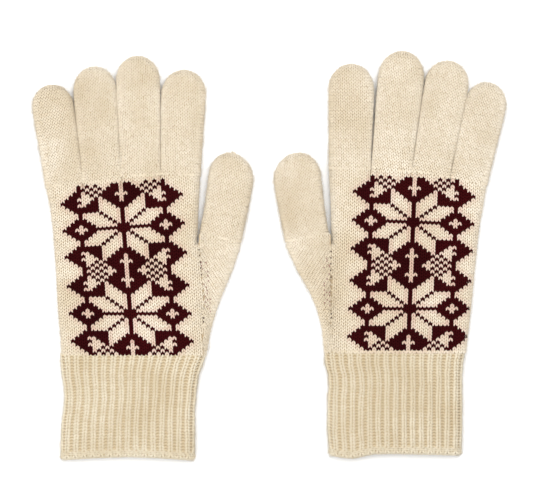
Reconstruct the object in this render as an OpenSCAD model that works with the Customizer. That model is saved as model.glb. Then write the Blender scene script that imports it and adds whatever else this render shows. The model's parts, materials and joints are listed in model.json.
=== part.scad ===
// A pair of knitted gloves lying flat, palms down, fingers towards +Y.
// The back of each hand carries a two-colour star panel, and a ribbed cuff closes the wrist.
// +Z is up. The origin is the bottom centre of the pair's bounding box.

/* [Fabric] */
// Thickness of the knitted wall
wall_t = 2; // [1.5:0.1:2.4]
// Thickness of an empty glove lying flat
glove_t = 11; // [10:0.5:14]
// Clearance kept along each fold line
fold_gap = 0.4; // [0.3:0.1:1]

/* [Digits] */
// Length of the little finger, from fold line to tip
little_len = 57.5; // [50:0.5:65]
// Length of the ring finger
ring_len = 66; // [58:0.5:74]
// Length of the middle finger
middle_len = 68.5; // [60:0.5:78]
// Length of the index finger
index_len = 60; // [52:0.5:70]
// Length of the thumb
thumb_len = 48.5; // [42:0.5:56]
// Width of the little and ring fingers
narrow_w = 21.3; // [18:0.1:21.3]
// Width of the middle finger
middle_w = 22.1; // [18:0.1:22.1]
// Width of the index finger
index_w = 22.9; // [18:0.1:22.9]
// Width of the thumb
thumb_w = 24.4; // [20:0.1:24.4]

/* [Cuff] */
// Length of the ribbed cuff, from wrist fold to hem
cuff_len = 54.5; // [40:0.5:70]
// Width of the cuff below its flared top
cuff_w = 79; // [70:0.5:84]
// Length of the rolled hem
hem_len = 4.7; // [3:0.1:8]
// How much the hem stands above the cuff
hem_rise = 0.8; // [0.4:0.1:2]

/* [Star panel] */
// Width of one knitted stitch in the panel
stitch_w = 2.46; // [2.2:0.01:2.46]
// Height of one knitted row in the panel
stitch_h = 1.8; // [1.6:0.01:1.8]
// Thickness of the contrast yarn on the surface
yarn_t = 0.4; // [0.2:0.1:0.8]
// Thickness of the strands carried inside
float_t = 0.6; // [0.4:0.1:0.8]
// Spacing of the tuck stitches along the thumb gusset
tack_pitch = 1.8; // [1.6:0.1:3]

/* [Hidden] */

CREAM = "#e8decb";
RIB_CREAM = "#e4d6bd";
BURGUNDY = "#3a0b12";

half_t = glove_t / 2;
in_t = half_t - wall_t;
setback = half_t + fold_gap;

// Both gloves are drawn with the little finger towards -X, and the right one is mirrored.
// A digit is [x, y, lean, length, width]: the middle of its fold line, and its lean to -X.
LITTLE = 0;
RING = 1;
MIDDLE = 2;
INDEX = 3;
THUMB = 4;
LEFT_DIGITS = [
    [-119.9, 44.3, 8.6, little_len, narrow_w],
    [-97.5, 46.2, 4.7, ring_len, narrow_w],
    [-74.9, 49.7, 1.9, middle_len, middle_w],
    [-51.5, 50, -2, index_len, index_w],
    [-28, 13.2, -11.3, thumb_len, thumb_w]
];
RIGHT_DIGITS = [
    [-117.2, 46.2, 12.3, little_len, narrow_w],
    [-94.6, 50.3, 10.3, ring_len, narrow_w],
    [-71.6, 52.8, 6.1, middle_len, middle_w],
    [-47, 53.5, 1.2, index_len, index_w],
    [-21.7, 13.3, -10.1, thumb_len, thumb_w]
];

// Edges of the hand as [y, x] pairs: little-finger side, gusset seam with the index side above
// it, and outer edge of the thumb gusset.
LEFT_OUTER = [[-60, -122.8], [-31, -124.6], [-8, -125.8], [15.5, -127.5], [41, -131.2]];
LEFT_SEAM = [[-60, -40.4], [10, -41.8], [46, -40.4]];
LEFT_GUSSET = [[-60, -36.2], [-43, -33.9], [-31, -30.4], [-20, -26.3], [-8, -21.1], [6, -16.4]];
RIGHT_OUTER = [[-60, -115], [-31, -118.2], [-8, -120.5], [15.5, -122.9], [41, -127.4]];
RIGHT_SEAM = [[-60, -37], [10, -36.6], [50, -35.2]];
RIGHT_GUSSET = [[-60, -32.4], [-43, -30.4], [-31, -27.5], [-20, -22.8], [-8, -15.8], [6, -9.6]];

// Line of the tuck stitches on the gusset as [y, x] pairs.
LEFT_TACKS = [[-50, -38.1], [-22, -38.1], [-8, -39.6], [3, -40.6]];
RIGHT_TACKS = [[-48, -36.2], [-26, -35.8], [-9, -35.6], [3, -35.4]];

// A glove is [digits, outer edge, seam, gusset edge, tack line, wrist y, cuff centre x,
// cuff top half width, lower star centre, lean of the star panel].
LEFT = [
    LEFT_DIGITS, LEFT_OUTER, LEFT_SEAM, LEFT_GUSSET, LEFT_TACKS, -59.7, -80.2, 42.6,
    [-80.8, -33], 4.3
];
RIGHT = [
    RIGHT_DIGITS, RIGHT_OUTER, RIGHT_SEAM, RIGHT_GUSSET, RIGHT_TACKS, -57.3, -73.9, 40.8,
    [-81.8, -30.1], 2.3
];
function digit(g, n) = g[0][n];
function outer_x(g, y) = lookup(y, g[1]);
function seam_x(g, y) = lookup(y, g[2]);
function gusset_x(g, y) = lookup(y, g[3]);
function tack_x(g, y) = lookup(y, g[4]);
function wrist_y(g) = g[5];
function cuff_x(g) = g[6];
function cuff_top(g) = g[7];
function star_at(g) = g[8];
function panel_lean(g) = g[9];

// One quarter of the star, centre outwards, each row a string of stitches. x is contrast yarn.
STAR = [
    "xxxxxxxxx...xxx",
    "xx.....xxx.xxx.",
    "x.x.....xxxxx..",
    "x..x.....xxx...",
    "x...x.....x....",
    "x....x....x....",
    "x.....xxxxxx...",
    "xx....xxxxxxx..",
    "xxx...xxx..xxx.",
    ".xxx..xx..xxxxx",
    ".xxxx.x....xxx.",
    "..xxxx.x..xxx..",
    ".xxxx.x.x.xx...",
    ".xxx.x.x.xx....",
    ".xx...x.x.x...."
];
star_cols = len(STAR[0]) - 1;
star_rows = len(STAR) - 1;
panel_top = 3 * star_rows;
panel_end = -star_rows + 1;

pair_offset = [-0.2, -1.1, 0];

arc_steps = [0, 30, 60, 90];
ring_steps = [for (k = [0:8]) -90 + 22.5 * k];
tip_steps = [0, 26, 45, 60, 72, 82];
corner = 0.92;

// --- walls lofted between an outer and an inner grid of points ---

function flat(grid) = [for (row = grid) for (p = row) p];
function pair(a, b, c, d) = [[a, b, c], [a, c, d]];
function turned(faces, flip) =
    flip ? [for (f = faces) [for (k = [len(f) - 1:-1:0]) f[k]]] : faces;

module wall(outer, inner, closed, capped, flip) {
    rows = len(outer);
    cols = len(outer[0]);
    skip = rows * cols;
    last = rows - 1;
    spans = closed ? cols - 1 : cols - 2;
    o = [for (j = [0:last]) [for (i = [0:cols]) j * cols + i % cols]];
    n = [for (j = [0:last]) [for (i = [0:cols]) skip + j * cols + i % cols]];
    skins = [for (j = [0:last - 1]) for (i = [0:spans]) each concat(
        pair(o[j][i], o[j][i + 1], o[j + 1][i + 1], o[j + 1][i]),
        pair(n[j + 1][i], n[j + 1][i + 1], n[j][i + 1], n[j][i])
    )];
    start = [for (i = [0:spans]) each pair(n[0][i], n[0][i + 1], o[0][i + 1], o[0][i])];
    end = capped
        ? [[for (i = [0:cols - 1]) o[last][i]], [for (i = [cols - 1:-1:0]) n[last][i]]]
        : [for (i = [0:spans]) each pair(o[last][i], o[last][i + 1], n[last][i + 1], n[last][i])];
    c = cols - 1;
    sides = closed ? [] : [for (j = [0:last - 1]) each concat(
        pair(o[j][0], o[j + 1][0], n[j + 1][0], n[j][0]),
        pair(n[j][c], n[j + 1][c], o[j + 1][c], o[j][c])
    )];
    polyhedron(
        points = concat(flat(outer), flat(inner)),
        faces = turned(concat(skins, start, end, sides), flip)
    );
}

// --- tubes: fingers, thumb, cuff and hem ---

// A flattened ring of points. dip curves the ring back round the fold axis.
function ring(hw, ht, y, dip = 0) =
    let (c = corner * min(hw, ht))
    [for (side = [1, -1]) for (a = ring_steps)
        let (z = side * ht * sin(a))
        [side * (hw - c + c * cos(a)), y - (dip > 0 ? sqrt(dip * dip - z * z) : 0), z]];

// Rings of a digit of the given half width and half thickness, closed round at its tip.
function digit_rings(len, hw, ht) = concat(
    [ring(hw, ht, 0, half_t), ring(hw, ht, 1)],
    [for (a = tip_steps)
        let (v = hw * sin(a), over = max(0, v - (hw - ht)))
        ring(hw * cos(a), sqrt(ht * ht - over * over), len - hw + v)]
);

module digit_tube(g, n) {
    d = digit(g, n);
    translate([d[0], d[1], half_t])
        rotate(d[2])
            wall(
                digit_rings(d[3], d[4] / 2, half_t),
                digit_rings(d[3] - wall_t, d[4] / 2 - wall_t, in_t),
                closed = true, capped = true, flip = false
            );
}

// The cuff and its hem are drawn away from the wrist fold, then turned towards -Y.
cuff_steps = [0, 0.06, 0.2, 1];
flare_end = 0.1;
function cuff_half(g, f) = f < flare_end ? cuff_top(g) : cuff_w / 2;
function cuff_rings(g, inset) =
    [for (f = cuff_steps)
        ring(cuff_half(g, f) - inset, half_t - inset, f * cuff_len, f == 0 ? half_t : 0)];

module cuff_tube(g) {
    translate([cuff_x(g), wrist_y(g), half_t])
        mirror([0, 1, 0])
            wall(
                cuff_rings(g, 0), cuff_rings(g, wall_t),
                closed = true, capped = false, flip = false
            );
}

// Each step of the hem is [fraction of its length, fraction of its rise].
hem_steps = [[0, 0.7], [0.2, 1], [0.75, 1], [1, 0.6]];
function hem_rings(inset) =
    [for (s = hem_steps)
        let (rise = hem_rise / 2 * s[1])
        ring(cuff_w / 2 + rise - inset, half_t + rise - inset, cuff_len + s[0] * hem_len)];

module hem_tube(g) {
    translate([cuff_x(g), wrist_y(g), half_t + hem_rise / 2])
        mirror([0, 1, 0])
            wall(hem_rings(0), hem_rings(wall_t), closed = true, capped = false, flip = false);
}

// --- hand: back and palm shells, open along the gusset seam ---

// A point on a digit's setback line, at a fraction of its width from its middle.
function base_point(d, f) = [
    d[0] + f * d[4] * cos(d[2]) + setback * sin(d[2]),
    d[1] + f * d[4] * sin(d[2]) - setback * cos(d[2])
];
function crotch(a, b) =
    let (p = base_point(a, 0.5), q = base_point(b, -0.5))
    [(p[0] + q[0]) / 2, min(p[1], q[1])];
function hand_bottom(g) = wrist_y(g) + setback;
function finger_line(g) = [
    base_point(digit(g, LITTLE), -0.5),
    crotch(digit(g, LITTLE), digit(g, RING)),
    crotch(digit(g, RING), digit(g, MIDDLE)),
    crotch(digit(g, MIDDLE), digit(g, INDEX)),
    base_point(digit(g, INDEX), 0.5)
];
function line_y(g, x) = lookup(x, finger_line(g));

hand_steps = [0, 0.2, 0.4];
upper_steps = [0.85, 1];

// One station across the hand, as [x, y, z] points for a wall inset by the given amount.
function hand_station(g, t, inset, open) =
    let (
        line = finger_line(g),
        low = hand_bottom(g),
        y0 = low + t * (line[0][1] - low),
        y1 = low + t * (line[4][1] - low),
        x0 = outer_x(g, y0),
        x1 = seam_x(g, y1),
        span = line[4][0] - line[0][0],
        h = half_t - inset
    )
    concat(
        [for (a = arc_steps) [x0 + half_t - h * cos(a), y0, h * sin(a)]],
        [for (k = [1:3])
            [x0 + (x1 - x0) * (line[k][0] - line[0][0]) / span, low + t * (line[k][1] - low), h]],
        [for (k = [3:-1:0])
            open
                ? [x1 - half_t * k / 3, y1, h]
                : [x1 - half_t + h * cos(arc_steps[k]), y1, h * sin(arc_steps[k])]]
    );

// The seam ends where the thumb leaves the hand, and the index side closes above it.
function seam_top(g) = base_point(digit(g, THUMB), -0.5)[1];
function seam_step(g) =
    (seam_top(g) - hand_bottom(g)) / (finger_line(g)[4][1] - hand_bottom(g));
function hand_grid(g, inset) = concat(
    [for (t = concat(hand_steps, [seam_step(g)])) hand_station(g, t, inset, true)],
    [for (t = concat([seam_step(g) + 0.008], upper_steps)) hand_station(g, t, inset, false)]
);

module hand_shell(g, up) {
    translate([0, 0, half_t])
        mirror([0, 0, up ? 0 : 1])
            wall(
                hand_grid(g, 0), hand_grid(g, wall_t), closed = false, capped = false, flip = true
            );
}

// --- thumb gusset: a folded strip from the seam, round its outer edge and back ---

gusset_arc = [90, 60, 30, 0, -30, -60, -90];
gusset_steps = [0, 0.2, 0.4, 0.6, 0.8, 1];
seam_gap = 0.05;
function gusset_station(g, t, inset) =
    let (
        low = hand_bottom(g),
        top0 = base_point(digit(g, THUMB), -0.5)[1],
        top1 = base_point(digit(g, THUMB), 0.5)[1],
        y0 = low + t * (top0 - low),
        y1 = low + t * (top1 - low),
        x0 = seam_x(g, y0) + seam_gap,
        x1 = gusset_x(g, y1),
        h = half_t - inset,
        round = min(half_t, corner * (x1 - x0))
    )
    concat(
        [[x0, y0, h]],
        [for (a = gusset_arc) [x1 - round + (round - inset) * cos(a), y1, h * sin(a)]],
        [[x0, y0, -h]]
    );

module gusset_shell(g) {
    translate([0, 0, half_t])
        wall(
            [for (t = gusset_steps) gusset_station(g, t, 0)],
            [for (t = gusset_steps) gusset_station(g, t, wall_t)],
            closed = false, capped = false, flip = true
        );
}

// --- star panel ---

// The quarter chart is reflected about the star's middle row and column, and rows repeat.
function chart_row(n) =
    let (m = abs(n) % (2 * star_rows))
    m > star_rows ? 2 * star_rows - m : m;
function is_contrast(row, col) =
    abs(col) <= star_cols && STAR[chart_row(row)][abs(col)] == "x";
// Where a run of contrast stitches ends on a row.
function run_end(row, col) = is_contrast(row, col + 1) ? run_end(row, col + 1) : col;

edge_gap = 0.1;
// Runs that stay on the flat of the back, clear of its rounded edge and of both fold lines.
function on_panel(g, row, first, last) =
    let (
        a = panel_lean(g),
        at = star_at(g),
        x = at[0] - row * stitch_h * sin(a),
        y = at[1] + (row + 1) * stitch_h * cos(a),
        left = x + (first - 1) * stitch_w,
        rise = stitch_w * sin(a)
    )
    left > outer_x(g, y) + half_t - stitch_w
        && y + first * rise > hand_bottom(g) + 2 * stitch_h
        && y + last * rise < line_y(g, x + last * stitch_w)
        && y + first * rise < line_y(g, left);

module star_panel(g) {
    at = star_at(g);
    translate([at[0], at[1], glove_t])
        rotate(panel_lean(g))
            for (row = [panel_end:panel_top])
                for (col = [-star_cols:star_cols])
                    if (is_contrast(row, col) && !is_contrast(row, col - 1)) {
                        last = run_end(row, col);
                        if (on_panel(g, row, col, last))
                            translate([(col - 0.5) * stitch_w, (row - 0.5) * stitch_h, 0])
                                cube([(last - col + 1) * stitch_w - edge_gap,
                                    stitch_h - edge_gap, yarn_t]);
                    }
}

float_rows = 2;
float_w = 0.9;
float_margin = 4;
module floats(g) {
    at = star_at(g);
    reach = star_cols - 2;
    translate([at[0], at[1], glove_t - wall_t - float_t])
        rotate(panel_lean(g))
            for (row = [panel_end + float_margin:float_rows:panel_top - float_margin])
                translate([-reach * stitch_w, row * stitch_h - float_w / 2, 0])
                    cube([2 * reach * stitch_w, float_w, float_t]);
}

tack_d = 1.1;
module tacks(g) {
    line = g[4];
    from = line[0][0];
    to = line[len(line) - 1][0];
    for (y = [from:tack_pitch:to])
        translate([tack_x(g, y) + tack_d / 2, y, glove_t])
            cylinder(h = yarn_t, d = tack_d, $fn = 16);
}

// --- the two gloves ---

module left_glove() {
    translate(pair_offset) children();
}

module right_glove() {
    translate(pair_offset) mirror([1, 0, 0]) children();
}

module left_hand_back() { color(CREAM) left_glove() hand_shell(LEFT, true); }
module left_hand_palm() { color(CREAM) left_glove() hand_shell(LEFT, false); }
module left_thumb_gusset() { color(CREAM) left_glove() gusset_shell(LEFT); }
module left_index_finger() { color(CREAM) left_glove() digit_tube(LEFT, INDEX); }
module left_middle_finger() { color(CREAM) left_glove() digit_tube(LEFT, MIDDLE); }
module left_ring_finger() { color(CREAM) left_glove() digit_tube(LEFT, RING); }
module left_little_finger() { color(CREAM) left_glove() digit_tube(LEFT, LITTLE); }
module left_thumb() { color(CREAM) left_glove() digit_tube(LEFT, THUMB); }
module left_cuff() { color(RIB_CREAM) left_glove() cuff_tube(LEFT); }
module left_cuff_hem() { color(RIB_CREAM) left_glove() hem_tube(LEFT); }
module left_star_pattern() { color(BURGUNDY) left_glove() star_panel(LEFT); }
module left_pattern_floats() { color(BURGUNDY) left_glove() floats(LEFT); }
module left_gusset_tacks() { color(BURGUNDY) left_glove() tacks(LEFT); }

module right_hand_back() { color(CREAM) right_glove() hand_shell(RIGHT, true); }
module right_hand_palm() { color(CREAM) right_glove() hand_shell(RIGHT, false); }
module right_thumb_gusset() { color(CREAM) right_glove() gusset_shell(RIGHT); }
module right_index_finger() { color(CREAM) right_glove() digit_tube(RIGHT, INDEX); }
module right_middle_finger() { color(CREAM) right_glove() digit_tube(RIGHT, MIDDLE); }
module right_ring_finger() { color(CREAM) right_glove() digit_tube(RIGHT, RING); }
module right_little_finger() { color(CREAM) right_glove() digit_tube(RIGHT, LITTLE); }
module right_thumb() { color(CREAM) right_glove() digit_tube(RIGHT, THUMB); }
module right_cuff() { color(RIB_CREAM) right_glove() cuff_tube(RIGHT); }
module right_cuff_hem() { color(RIB_CREAM) right_glove() hem_tube(RIGHT); }
module right_star_pattern() { color(BURGUNDY) right_glove() star_panel(RIGHT); }
module right_pattern_floats() { color(BURGUNDY) right_glove() floats(RIGHT); }
module right_gusset_tacks() { color(BURGUNDY) right_glove() tacks(RIGHT); }

left_hand_back();
left_hand_palm();
left_thumb_gusset();
left_index_finger();
left_middle_finger();
left_ring_finger();
left_little_finger();
left_thumb();
left_cuff();
left_cuff_hem();
left_star_pattern();
left_pattern_floats();
left_gusset_tacks();
right_hand_back();
right_hand_palm();
right_thumb_gusset();
right_index_finger();
right_middle_finger();
right_ring_finger();
right_little_finger();
right_thumb();
right_cuff();
right_cuff_hem();
right_star_pattern();
right_pattern_floats();
right_gusset_tacks();
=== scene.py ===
"""Knitted gloves: every stitch is yarn, laid over the forms of the hand, the digits and the cuff."""

import json
import logging
import math
from dataclasses import dataclass, field, replace
from enum import Enum
from typing import Callable

import bmesh
import bpy
import numpy as np
from mathutils import Matrix, Vector

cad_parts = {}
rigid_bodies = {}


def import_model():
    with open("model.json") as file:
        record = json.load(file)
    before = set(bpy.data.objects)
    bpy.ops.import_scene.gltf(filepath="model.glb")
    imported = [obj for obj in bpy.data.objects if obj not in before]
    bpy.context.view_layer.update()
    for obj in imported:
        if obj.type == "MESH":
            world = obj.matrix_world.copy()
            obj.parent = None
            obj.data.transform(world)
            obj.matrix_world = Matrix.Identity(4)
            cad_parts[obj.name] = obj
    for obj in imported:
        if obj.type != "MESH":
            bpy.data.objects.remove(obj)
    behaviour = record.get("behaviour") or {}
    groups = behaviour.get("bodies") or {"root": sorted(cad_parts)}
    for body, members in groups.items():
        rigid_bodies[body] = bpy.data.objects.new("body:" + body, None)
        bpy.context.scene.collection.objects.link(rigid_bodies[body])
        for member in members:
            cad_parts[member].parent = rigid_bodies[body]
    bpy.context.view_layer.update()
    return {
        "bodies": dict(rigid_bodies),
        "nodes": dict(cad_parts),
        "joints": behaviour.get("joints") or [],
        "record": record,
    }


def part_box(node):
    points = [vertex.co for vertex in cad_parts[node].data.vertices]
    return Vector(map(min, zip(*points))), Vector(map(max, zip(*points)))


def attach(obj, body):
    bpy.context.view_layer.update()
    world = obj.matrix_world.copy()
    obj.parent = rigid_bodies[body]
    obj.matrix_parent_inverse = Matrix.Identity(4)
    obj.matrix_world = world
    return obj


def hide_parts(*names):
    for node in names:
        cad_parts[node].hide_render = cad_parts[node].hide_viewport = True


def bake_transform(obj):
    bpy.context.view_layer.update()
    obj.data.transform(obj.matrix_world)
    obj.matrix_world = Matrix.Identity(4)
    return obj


LOG = logging.getLogger("gloves")
MM = 0.001
Array = np.ndarray

# Plain knitting: width of a wale, height of a course, and how far yarn stands off its middle.
WALE = 2.05
COURSE = 1.79
SKIN = 0.55

# The hand and its digits: half their thickness, and half the width that their edges round over.
HALF_THICK = 4.88
OUTER_RIM = 4.2


class Side(Enum):
    """Which hand a glove is for. The value turns the drawn shape into place along X."""

    LEFT = 1
    RIGHT = -1

    @property
    def word(self) -> str:
        """The hand's name as the frame's nodes start with it."""
        return self.name.lower()


class Face(Enum):
    """The upper or the lower wall of a flattened tube."""

    UPPER = 1
    LOWER = -1

    @property
    def word(self) -> str:
        """The wall's name in its pieces' names."""
        return self.name.lower()


def smooth(x: Array) -> Array:
    """Ease from 0 to 1 as x goes from 0 to 1, flat outside."""
    x = np.clip(x, 0.0, 1.0)
    return x * x * (3 - 2 * x)


def quarter(a: Array, b: Array) -> Array:
    """Length of a quarter of an ellipse with half axes a and b."""
    h = ((a - b) / (a + b)) ** 2
    return math.pi / 4 * (a + b) * (1 + 3 * h / (10 + np.sqrt(4 - 3 * h)))


CROWN = 0.06


def cross_section(s: Array, half: Array, rim: Array, thick: Array) -> tuple[Array, Array]:
    """Walk round a flattened tube from the middle of its upper wall.

    Args:
        s: distance walked, signed to either side.
        half: half width of the tube.
        rim: half axis of its rounded edge across the width.
        thick: half thickness.

    Returns:
        Position across the width, and height above the tube's middle plane.
    """
    flat = half - rim
    turn = np.maximum(np.abs(s) - flat, 0.0) / quarter(rim, thick) * (math.pi / 2)
    across = np.minimum(np.abs(s), flat) + rim * np.sin(turn)
    crown = CROWN * np.minimum(np.abs(s) / np.maximum(flat, 0.1), 1.0) ** 2
    return np.sign(s) * across, thick * (1 - crown) * np.cos(turn)


# --- finishes ---


# Scales of the wool's patterns: three over the object, one along the yarn.
DRIFT_SCALE = 38.0
FLECK_SCALE = 1500.0
FLUFF_SCALE = 3200.0
TWIST_SCALE = 2.2

# Depths of the fibres' relief, in metres.
PLY_RELIEF = 0.0002
FLUFF_RELIEF = 0.00025


@dataclass(frozen=True)
class WoolFinish:
    """Matt wool with a soft surface, spun fibres and uneven dye."""

    name: str
    base: tuple[float, float, float]
    deep: tuple[float, float, float]
    blush: tuple[float, float, float]
    sheen: float = 0.35
    sheen_spread: float = 0.45
    fibre_bump: float = 0.35
    gloss: float = 0.15
    roughness: float = 0.92
    yarn: bool = True

    def material(self) -> bpy.types.Material:
        """Build the node tree, or return it if it is already there.

        Returns:
            The finish's material.
        """
        found = bpy.data.materials.get(self.name)
        if found:
            return found
        made = bpy.data.materials.new(self.name)
        made.use_nodes = True
        tree = made.node_tree
        shader = tree.nodes["Principled BSDF"]
        shader.inputs["Roughness"].default_value = self.roughness
        shader.inputs["Specular IOR Level"].default_value = self.gloss
        shader.inputs["Sheen Weight"].default_value = self.sheen
        shader.inputs["Sheen Roughness"].default_value = self.sheen_spread
        coord = tree.nodes.new("ShaderNodeTexCoord")
        colour = self._colour(tree, coord)
        tree.links.new(colour, shader.inputs["Base Color"])
        tree.links.new(self._fibres(tree, coord), shader.inputs["Normal"])
        return made

    def _noise(self, tree: bpy.types.NodeTree, vector: bpy.types.NodeSocket, scale: float,
               detail: float) -> bpy.types.NodeSocket:
        """A noise texture's value at the given scale.

        Args:
            tree: the material's nodes.
            vector: output that gives the place.
            scale: repeats to a metre.
            detail: how many finer layers it has.

        Returns:
            The noise's output.
        """
        noise = tree.nodes.new("ShaderNodeTexNoise")
        noise.inputs["Scale"].default_value = scale
        noise.inputs["Detail"].default_value = detail
        tree.links.new(vector, noise.inputs["Vector"])
        return noise.outputs["Fac"]

    def _mix(self, tree: bpy.types.NodeTree, factor: bpy.types.NodeSocket,
             first: bpy.types.NodeSocket | tuple, second: tuple) -> bpy.types.NodeSocket:
        """Mix a colour into another by a factor.

        Args:
            tree: the material's nodes.
            factor: output that gives the share of the second colour.
            first: a colour, or the output that gives one.
            second: the other colour.

        Returns:
            The mixed colour's output.
        """
        mix = tree.nodes.new("ShaderNodeMix")
        mix.data_type = "RGBA"
        tree.links.new(factor, mix.inputs[0])
        if isinstance(first, tuple):
            mix.inputs[6].default_value = (*first, 1)
        else:
            tree.links.new(first, mix.inputs[6])
        mix.inputs[7].default_value = (*second, 1)
        return mix.outputs[2]

    def _ramp(self, tree: bpy.types.NodeTree, value: bpy.types.NodeSocket, low: float,
              high: float) -> bpy.types.NodeSocket:
        """Stretch a value so that low becomes 0 and high becomes 1.

        Args:
            tree: the material's nodes.
            value: output to stretch.
            low: value that becomes 0.
            high: value that becomes 1.

        Returns:
            The stretched output.
        """
        ramp = tree.nodes.new("ShaderNodeMapRange")
        ramp.inputs["From Min"].default_value = low
        ramp.inputs["From Max"].default_value = high
        tree.links.new(value, ramp.inputs["Value"])
        return ramp.outputs["Result"]

    def _colour(self, tree: bpy.types.NodeTree, coord: bpy.types.Node) -> bpy.types.NodeSocket:
        """Dye that drifts over the fabric, changes a little with each stitch, and takes up stain.

        Args:
            tree: the material's nodes.
            coord: the texture coordinates.

        Returns:
            The colour's output.
        """
        drift = self._noise(tree, coord.outputs["Object"], DRIFT_SCALE, 4.0)
        toned = self._mix(tree, self._ramp(tree, drift, 0.35, 0.75), self.base, self.deep)
        fleck = self._noise(tree, coord.outputs["Object"], FLECK_SCALE, 3.0)
        flecked = self._mix(tree, self._ramp(tree, fleck, 0.52, 0.8), toned, self.deep)
        if not self.yarn:
            return flecked
        tone = tree.nodes.new("ShaderNodeAttribute")
        tone.attribute_name = "tone"
        stitched = self._mix(tree, tone.outputs["Fac"], flecked, self.deep)
        stain = tree.nodes.new("ShaderNodeAttribute")
        stain.attribute_name = "stain"
        return self._mix(tree, stain.outputs["Fac"], stitched, self.blush)

    def _fibres(self, tree: bpy.types.NodeTree, coord: bpy.types.Node) -> bpy.types.NodeSocket:
        """Relief of the spun fibres: twisted plies along the yarn and fine fluff over them.

        Args:
            tree: the material's nodes.
            coord: the texture coordinates.

        Returns:
            The relief's output.
        """
        fluff = self._noise(tree, coord.outputs["Object"], FLUFF_SCALE, 4.0)
        bump = self._bump(tree, fluff, FLUFF_RELIEF)
        if self.yarn:
            twist = tree.nodes.new("ShaderNodeTexWave")
            twist.bands_direction = "DIAGONAL"
            twist.inputs["Scale"].default_value = TWIST_SCALE
            twist.inputs["Distortion"].default_value = 2.5
            twist.inputs["Detail"].default_value = 3.0
            tree.links.new(coord.outputs["UV"], twist.inputs["Vector"])
            plies = self._bump(tree, twist.outputs["Fac"], PLY_RELIEF)
            tree.links.new(plies.outputs["Normal"], bump.inputs["Normal"])
        return bump.outputs["Normal"]

    def _bump(self, tree: bpy.types.NodeTree, height: bpy.types.NodeSocket,
              deep: float) -> bpy.types.Node:
        """Turn a height into relief.

        Args:
            tree: the material's nodes.
            height: output that gives the height, from 0 to 1.
            deep: height of the relief, in metres.

        Returns:
            The bump node.
        """
        bump = tree.nodes.new("ShaderNodeBump")
        bump.inputs["Strength"].default_value = self.fibre_bump
        bump.inputs["Distance"].default_value = deep
        tree.links.new(height, bump.inputs["Height"])
        return bump


BLUSH = (0.50, 0.20, 0.19)
CREAM = WoolFinish("cream wool", (0.775, 0.70, 0.58), (0.62, 0.52, 0.37), BLUSH)
RIB = WoolFinish("ribbed cream wool", (0.70, 0.63, 0.495), (0.585, 0.49, 0.335), BLUSH)
# The purl wales between the ribs are the ribs' own cream yarn; their darker colour is painted shade
# for the rib valleys.
SHADED_VALLEY = WoolFinish("wool between ribs", (0.64, 0.54, 0.375), (0.56, 0.45, 0.29), BLUSH)
# The linings are the fabric under the stitches, in the same yarn; they are coloured darker as
# painted shade, which shows in the gaps between stitches.
SHADED_LINING = WoolFinish(
    "inner cream wool", (0.53, 0.415, 0.27), (0.47, 0.355, 0.22), BLUSH, yarn=False
)
# Darker than the ribs' yarn as painted shade in the gaps between the cuff's stitches.
SHADED_RIB_LINING = WoolFinish(
    "inner ribbed wool", (0.56, 0.44, 0.275), (0.50, 0.38, 0.225), BLUSH, yarn=False
)
BURGUNDY = WoolFinish(
    "burgundy wool", (0.041, 0.0026, 0.0034), (0.021, 0.0017, 0.0022), (0.10, 0.012, 0.014),
    sheen=0.0, gloss=0.04,
)
INNER_BURGUNDY = replace(BURGUNDY, name="inner burgundy wool", yarn=False)
FADED = WoolFinish("faded burgundy wool", (0.36, 0.20, 0.17), (0.25, 0.12, 0.11), BLUSH)


# --- yarn shapes, drawn in a cell one wale wide and one course high ---


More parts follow.
